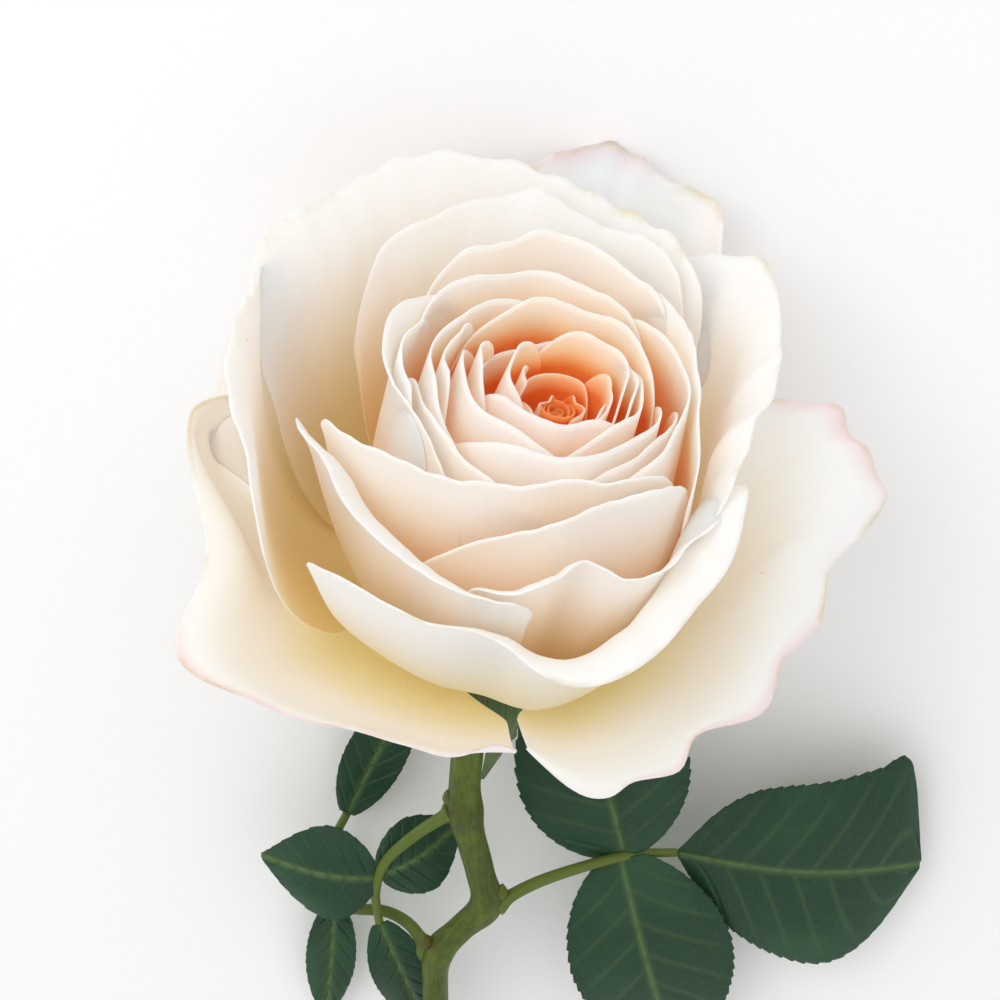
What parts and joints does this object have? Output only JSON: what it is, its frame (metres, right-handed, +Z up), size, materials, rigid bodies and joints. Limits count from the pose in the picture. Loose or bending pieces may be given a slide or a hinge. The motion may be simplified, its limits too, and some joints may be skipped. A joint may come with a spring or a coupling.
{
  "type": "cut rose",
  "caption": "Open garden rose bloom with cream and apricot petals on a cut stem with serrate compound leaves, lying on its side.",
  "frame": {"origin": "on the resting surface, under the middle of the whole flower's box", "axes": "+Y along the stem from its cut end to the bloom, +Z up from the surface, +X to the right seen from above with the bloom at the top"},
  "size_m": [0.119, 0.2888, 0.0832],
  "materials": {
    "outer_petal": "soft satin petal tissue, cream white with a faint green tinge at the base and a little pink on the edge",
    "middle_petal": "soft satin petal tissue, ivory at the rim and peach towards the base",
    "core_petal": "soft satin petal tissue, pale peach at the rim and deep apricot orange inside",
    "leaf": "leathery dark green leaf, slightly glossy above, with paler veins",
    "leaf_stalk": "smooth yellow-green stalk",
    "sepal": "matt yellow-green sepal, paler inside",
    "stem": "smooth olive-green young stem with brown scars at the leaf joints",
    "receptacle": "smooth green hip"
  },
  "bodies": {
    "root": {"guard_back_left": "outer_petal", "guard_right": "outer_petal", "guard_left": "outer_petal", "guard_back_right": "outer_petal", "cup_right": "outer_petal", "cup_front": "outer_petal", "cup_back": "outer_petal", "cup_left": "outer_petal", "mid_back": "middle_petal", "lip_left": "middle_petal", "lip_right": "middle_petal", "mid_right": "middle_petal", "front_right": "middle_petal", "mid_back_in": "middle_petal", "front_low": "middle_petal", "ring_right": "middle_petal", "ring_left": "middle_petal", "ring_back": "middle_petal", "front_in_left": "core_petal", "front_in_right": "core_petal", "core_01": "core_petal", "core_02": "core_petal", "core_03": "core_petal", "core_04": "core_petal", "core_05": "core_petal", "core_06": "core_petal", "core_07": "core_petal", "core_08": "core_petal", "core_09": "core_petal", "core_10": "core_petal", "core_11": "core_petal", "core_12": "core_petal", "core_13": "core_petal", "core_14": "core_petal", "heart": "core_petal", "leaf_right_tip": "leaf", "leaf_right_upper": "leaf", "leaf_right_lower": "leaf", "leaf_left_tip": "leaf", "leaf_left_outer": "leaf", "leaf_left_inner": "leaf", "leaf_low_tip": "leaf", "leaf_low_outer": "leaf", "leaf_right_stalk": "leaf_stalk", "leaf_left_stalk": "leaf_stalk", "leaf_low_stalk": "leaf_stalk", "sepal_1": "sepal", "sepal_2": "sepal", "sepal_3": "sepal", "sepal_4": "sepal", "sepal_5": "sepal", "stem": "stem", "receptacle": "receptacle"}
  },
  "joints": []
}
